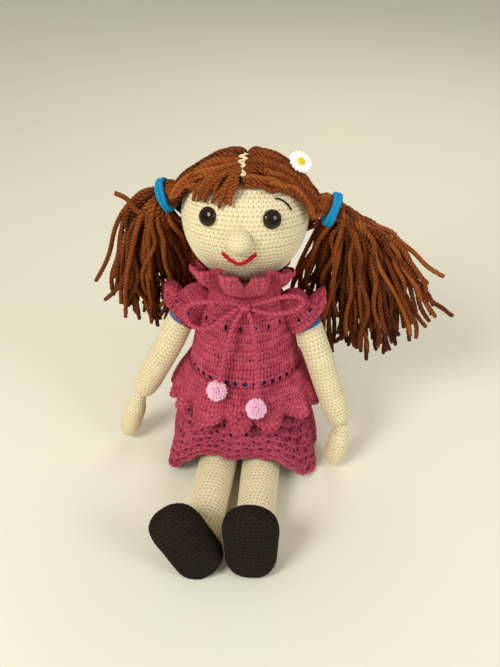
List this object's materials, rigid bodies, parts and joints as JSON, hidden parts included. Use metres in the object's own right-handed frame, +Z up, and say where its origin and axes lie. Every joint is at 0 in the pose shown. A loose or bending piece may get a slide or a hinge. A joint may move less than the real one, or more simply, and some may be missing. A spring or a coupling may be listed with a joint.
{
  "type": "doll",
  "caption": "Seated crocheted stuffed doll with yarn pigtails, ruffled rose dress, drawstring bow with pom-poms, and jointed head, arms, hands and legs",
  "frame": {"origin": "on the resting plane, on the flat seat of the body, on the doll's middle plane", "axes": "+Z up, -Y is the way the doll faces, +X is the doll's own left"},
  "size_m": [0.2728, 0.2068, 0.2613],
  "materials": {
    "cream_yarn": "single crochet in soft cream yarn, matte",
    "blue_yarn": "single crochet in blue yarn, matte",
    "chestnut_yarn": "loose chestnut yarn strands, matte with a soft sheen",
    "rose_yarn": "crocheted rose-pink cotton yarn with openwork rows, matte",
    "pink_fluff": "fluffy pale pink pom-pom",
    "sky_blue_band": "ribbed bright blue elastic band",
    "red_yarn": "sewn red yarn",
    "dark_brown_yarn": "crocheted very dark brown yarn, matte",
    "eye_plastic": "glossy near-black brown dome",
    "black_thread": "sewn black thread",
    "white_thread": "white crochet cotton",
    "yellow_thread": "yellow crochet cotton"
  },
  "bodies": {
    "torso": {"torso": "blue_yarn", "dress_bodice": "rose_yarn", "peplum": "rose_yarn", "skirt": "rose_yarn", "collar_ruffle": "rose_yarn", "sleeve_left": "rose_yarn", "sleeve_right": "rose_yarn", "neck_drawstring": "rose_yarn", "bow_knot": "rose_yarn", "bow_loop_left": "rose_yarn", "bow_loop_right": "rose_yarn", "cord_end_left": "rose_yarn", "cord_end_right": "rose_yarn", "pompom_left": "pink_fluff", "pompom_right": "pink_fluff"},
    "neck": {"neck": "cream_yarn"},
    "head": {"head": "cream_yarn", "nose": "cream_yarn", "eye_left": "eye_plastic", "eye_right": "eye_plastic", "mouth": "red_yarn", "eyebrow_left": "black_thread", "hair_left": "chestnut_yarn", "hair_right": "chestnut_yarn", "fringe": "chestnut_yarn", "parting_stitches": "cream_yarn", "daisy_petals": "white_thread", "daisy_centre": "yellow_thread", "hair_tie_left": "sky_blue_band", "hair_tie_right": "sky_blue_band"},
    "pigtail_left": {"pigtail_left": "chestnut_yarn"},
    "pigtail_right": {"pigtail_right": "chestnut_yarn"},
    "arm_left": {"arm_left": "cream_yarn"},
    "arm_right": {"arm_right": "cream_yarn"},
    "hand_left": {"hand_left": "cream_yarn"},
    "hand_right": {"hand_right": "cream_yarn"},
    "leg_left": {"leg_left": "cream_yarn", "shoe_left": "dark_brown_yarn"},
    "leg_right": {"leg_right": "cream_yarn", "shoe_right": "dark_brown_yarn"}
  },
  "joints": [
    {"name": "head_turn", "type": "hinge", "parent": "torso", "child": "neck", "pos_m": [0, 0.01, 0.164], "axis": [0, 0, 1], "range_deg": [-20, 20], "stiffness_Nm_per_rad": 0.03, "deforming": ["collar_ruffle"]},
    {"name": "head_nod", "type": "hinge", "parent": "neck", "child": "head", "pos_m": [0, 0.01, 0.17], "axis": [1, 0, 0], "range_deg": [-10, 12], "stiffness_Nm_per_rad": 0.1, "deforming": ["collar_ruffle"]},
    {"name": "pigtail_left_swing", "type": "hinge", "parent": "head", "child": "pigtail_left", "pos_m": [0.0635, 0.005, 0.2225], "axis": [0, -1, 0], "range_deg": [0, 35]},
    {"name": "pigtail_right_swing", "type": "hinge", "parent": "head", "child": "pigtail_right", "pos_m": [-0.0625, 0.005, 0.227], "axis": [0, 1, 0], "range_deg": [0, 35]},
    {"name": "shoulder_left", "type": "hinge", "parent": "torso", "child": "arm_left", "pos_m": [0.03735, 0.004, 0.143], "axis": [-1, 0, 0], "range_deg": [-15, 70], "deforming": ["sleeve_left"]},
    {"name": "shoulder_right", "type": "hinge", "parent": "torso", "child": "arm_right", "pos_m": [-0.03735, 0.004, 0.143], "axis": [-1, 0, 0], "range_deg": [-15, 70], "deforming": ["sleeve_right"]},
    {"name": "wrist_left", "type": "hinge", "parent": "arm_left", "child": "hand_left", "pos_m": [0.0815, -0.02, 0.04], "axis": [0, -1, 0], "range_deg": [-4, 28]},
    {"name": "wrist_right", "type": "hinge", "parent": "arm_right", "child": "hand_right", "pos_m": [-0.088, -0.008, 0.049], "axis": [0, -1, 0], "range_deg": [-8, 28]},
    {"name": "hip_left", "type": "hinge", "parent": "torso", "child": "leg_left", "pos_m": [0.0175, -0.02485, 0.0145], "axis": [1, 0, 0], "range_deg": [-5, 80], "deforming": ["skirt"]},
    {"name": "hip_right", "type": "hinge", "parent": "torso", "child": "leg_right", "pos_m": [-0.0175, -0.02485, 0.0145], "axis": [1, 0, 0], "range_deg": [-5, 80], "deforming": ["skirt"]}
  ]
}
